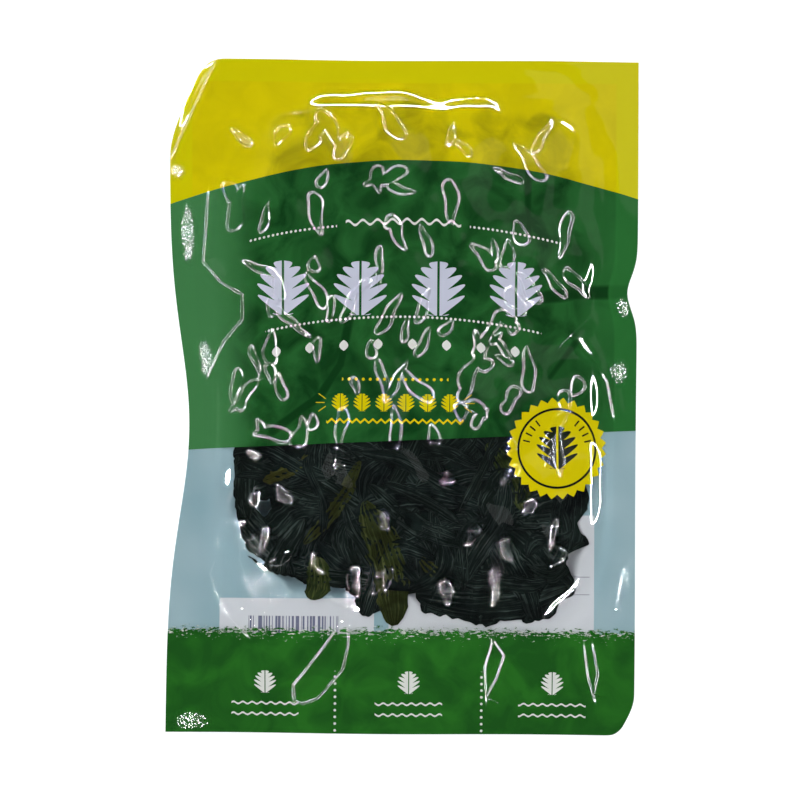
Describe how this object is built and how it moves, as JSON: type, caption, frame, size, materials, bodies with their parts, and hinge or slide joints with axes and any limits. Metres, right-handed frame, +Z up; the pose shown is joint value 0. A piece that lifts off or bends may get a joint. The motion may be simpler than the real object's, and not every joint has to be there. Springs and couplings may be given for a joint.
{
  "type": "vacuum pouch of wakame",
  "caption": "Flat vacuum-sealed film pouch of cut wakame, its webs sealed round the rim and clinging to a pressed bunch of dark leaves that shows through a clear window.",
  "frame": {"origin": "on the surface that the pouch lies on, under the middle of its outline", "axes": "+Z up out of the front web, +Y towards the pouch's head, +X to the right seen from the front"},
  "size_m": [0.16, 0.23, 0.0157],
  "materials": {
    "back_film": "printed laminate, light blue",
    "wakame_dark": "wet leaf, nearly black green",
    "wakame_pale": "wet leaf, olive",
    "front_film": "printed clear laminate, green, glossy"
  },
  "bodies": {
    "root": {"back_film": "back_film", "wakame_bunch": "wakame_dark", "pale_leaf_long": "wakame_pale", "pale_leaf_tip": "wakame_pale", "pale_leaf_strip": "wakame_pale", "pale_leaf_stub": "wakame_pale", "pale_leaf_upper": "wakame_pale", "pale_leaf_small": "wakame_pale", "front_film": "front_film"}
  },
  "joints": []
}
